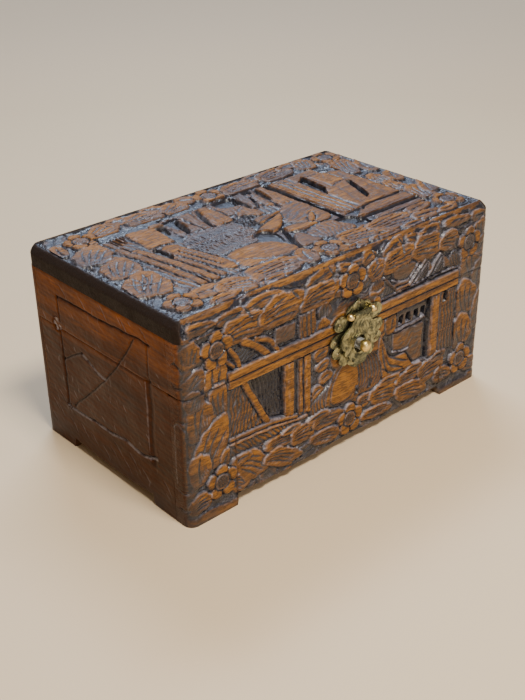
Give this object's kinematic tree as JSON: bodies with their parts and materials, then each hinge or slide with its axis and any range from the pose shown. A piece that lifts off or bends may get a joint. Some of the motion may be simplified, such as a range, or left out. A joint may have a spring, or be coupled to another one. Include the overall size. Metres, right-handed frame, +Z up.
{
  "type": "jewelry box",
  "caption": "Rectangular carved wooden jewelry box with a hinged lid, bracket feet, rear butt hinges and a lobed brass hasp over a staple post.",
  "frame": {"origin": "bottom centre of the whole object's bounding box, hasp and hinge barrels included; the wooden box alone is centred 6.7 mm behind it", "axes": "+Z up, front with the hasp towards -Y, +X to the right of a viewer who faces the front"},
  "size_m": [0.3, 0.1888, 0.153],
  "materials": {
    "carved_wood": "satin lacquer over carved relief, worn orange-brown on the high parts and dark in the hollows",
    "end_wood": "satin dark red-brown stain",
    "raw_wood": "bare, unlacquered",
    "dull_brass": "tarnished, satin",
    "gold_brass": "polished"
  },
  "bodies": {
    "case": {"case_front_board": "carved_wood", "case_back_board": "end_wood", "case_left_end_board": "end_wood", "case_right_end_board": "end_wood", "case_bottom_board": "raw_wood", "hasp_body_plate": "dull_brass", "hasp_staple_post": "gold_brass", "hasp_body_nail_1": "gold_brass", "hasp_body_nail_2": "gold_brass", "hasp_body_nail_3": "gold_brass", "hasp_body_nail_4": "gold_brass", "hinge_left_case_leaf": "dull_brass", "hinge_left_pin": "gold_brass", "hinge_left_case_screw_1": "gold_brass", "hinge_left_case_screw_2": "gold_brass", "hinge_right_case_leaf": "dull_brass", "hinge_right_pin": "gold_brass", "hinge_right_case_screw_1": "gold_brass", "hinge_right_case_screw_2": "gold_brass"},
    "lid": {"lid_top_board": "carved_wood", "lid_front_rail": "carved_wood", "lid_back_rail": "end_wood", "lid_left_rail": "end_wood", "lid_right_rail": "end_wood", "hasp_lid_plate": "dull_brass", "hasp_hinge_pin": "gold_brass", "hasp_pin_finial": "gold_brass", "hasp_lid_nail_1": "gold_brass", "hasp_lid_nail_2": "gold_brass", "hasp_lid_nail_3": "gold_brass", "hinge_left_lid_leaf": "dull_brass", "hinge_left_lid_screw_1": "gold_brass", "hinge_left_lid_screw_2": "gold_brass", "hinge_right_lid_leaf": "dull_brass", "hinge_right_lid_screw_1": "gold_brass", "hinge_right_lid_screw_2": "gold_brass"},
    "hasp_tongue": {"hasp_tongue": "dull_brass"}
  },
  "joints": [
    {"name": "lid_hinge", "type": "hinge", "parent": "case", "child": "lid", "pos_m": [0, 0.09252, 0.0985], "axis": [-1, 0, 0], "range_deg": [0, 102]},
    {"name": "hasp_hinge", "type": "hinge", "parent": "lid", "child": "hasp_tongue", "pos_m": [0.005, -0.08488, 0.1094], "axis": [-1, 0, 0], "range_deg": [0, 170]}
  ]
}
